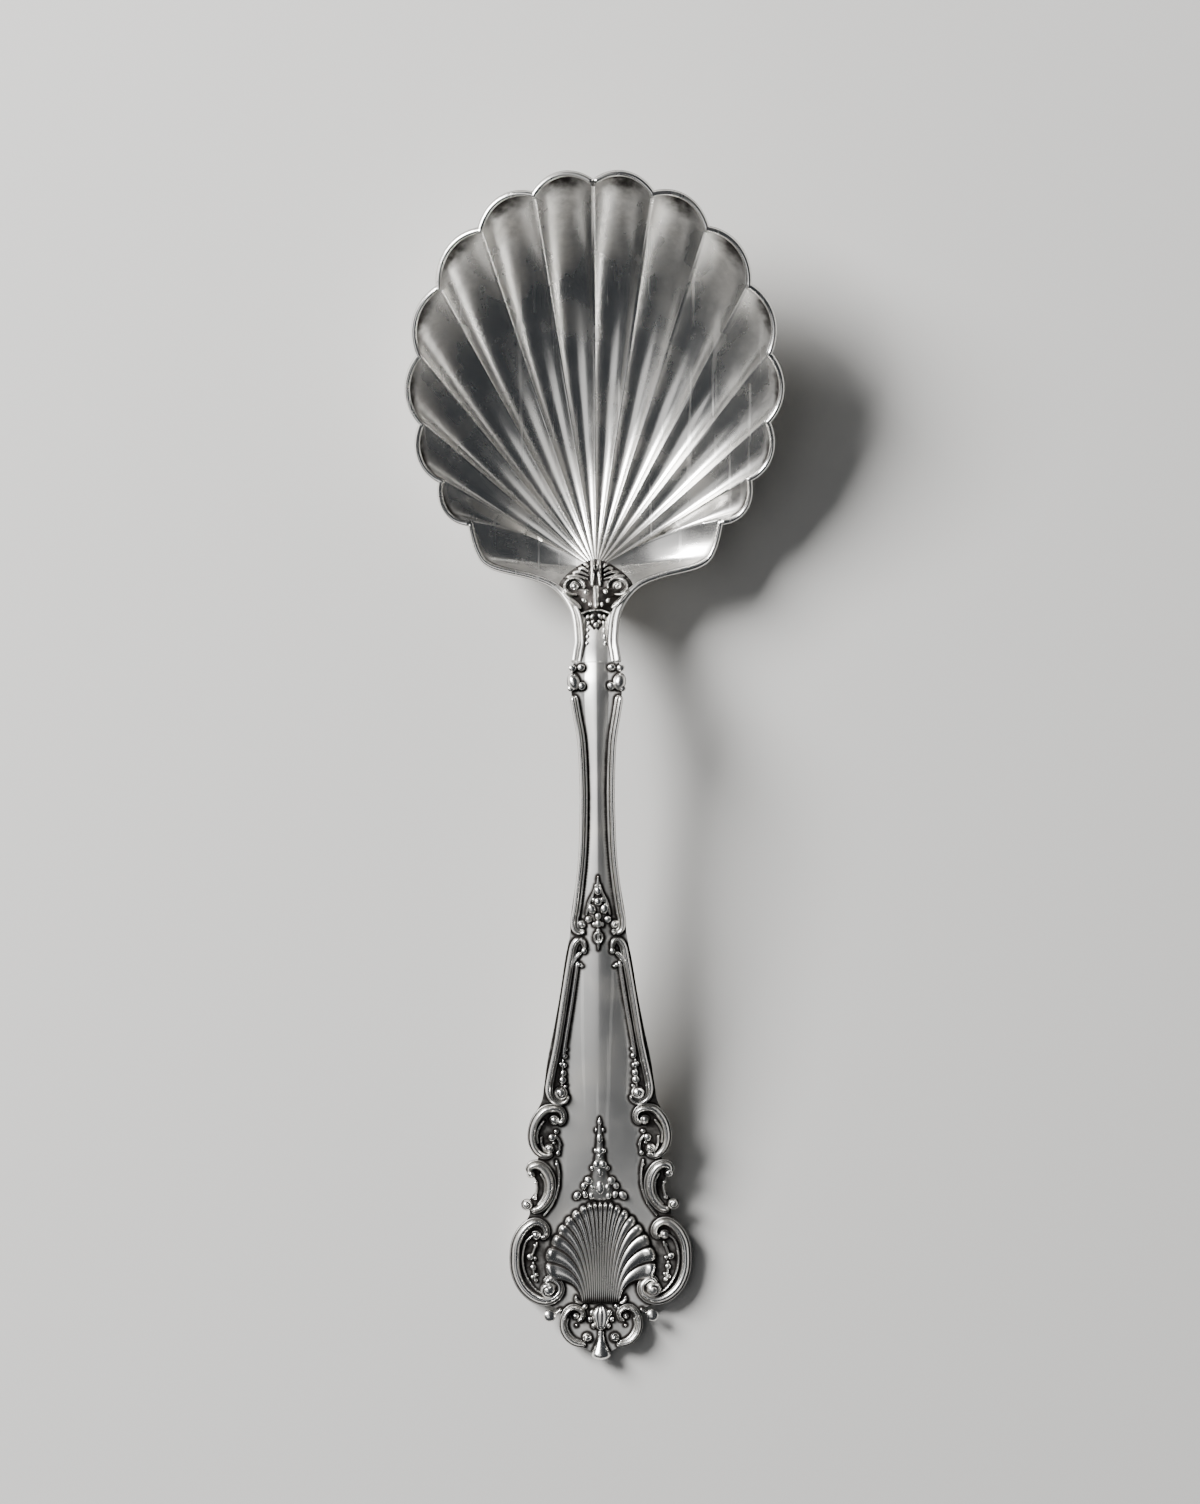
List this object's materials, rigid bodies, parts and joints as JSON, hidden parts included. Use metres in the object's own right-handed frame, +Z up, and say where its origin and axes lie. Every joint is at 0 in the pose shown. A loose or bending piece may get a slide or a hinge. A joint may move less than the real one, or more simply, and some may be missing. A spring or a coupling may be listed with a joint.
{
  "type": "sugar spoon",
  "caption": "Silver sugar spoon with a deep fluted shell bowl, a beaded rail stem and a broad handle end dressed with scrolls and a small fan shell.",
  "frame": {"origin": "on the table under the middle of the spoon's length and width, with the spoon lying bowl up", "axes": "+X across the spoon, +Y along it towards the bowl's tip, +Z up out of the bowl"},
  "size_m": [0.0482, 0.1517, 0.0207],
  "materials": {
    "bowl_silver": "polished silver, radial polishing lines along the flutes",
    "plate_silver": "worn satin silver with darker mottled patina",
    "ornament_silver": "bright silver on the high places, dark oxide in the recesses"
  },
  "bodies": {
    "root": {"bowl": "bowl_silver", "rim_thread_right": "bowl_silver", "rim_thread_left": "bowl_silver", "bowl_leaf": "ornament_silver", "handle_plate": "plate_silver", "neck_knot_right": "ornament_silver", "neck_knot_left": "ornament_silver", "upper_rail_right": "ornament_silver", "upper_rail_left": "ornament_silver", "bead_drop": "ornament_silver", "lower_rail_right": "ornament_silver", "lower_rail_left": "ornament_silver", "inner_thread_right": "ornament_silver", "inner_thread_left": "ornament_silver", "small_scroll_right": "ornament_silver", "small_scroll_left": "ornament_silver", "turned_scroll_right": "ornament_silver", "turned_scroll_left": "ornament_silver", "large_scroll_right": "ornament_silver", "large_scroll_left": "ornament_silver", "leaf_spray": "ornament_silver", "end_shell": "ornament_silver", "side_bead_right": "ornament_silver", "side_bead_left": "ornament_silver", "end_scroll_right": "ornament_silver", "end_scroll_left": "ornament_silver", "end_collar": "ornament_silver", "end_drop": "ornament_silver"}
  },
  "joints": []
}
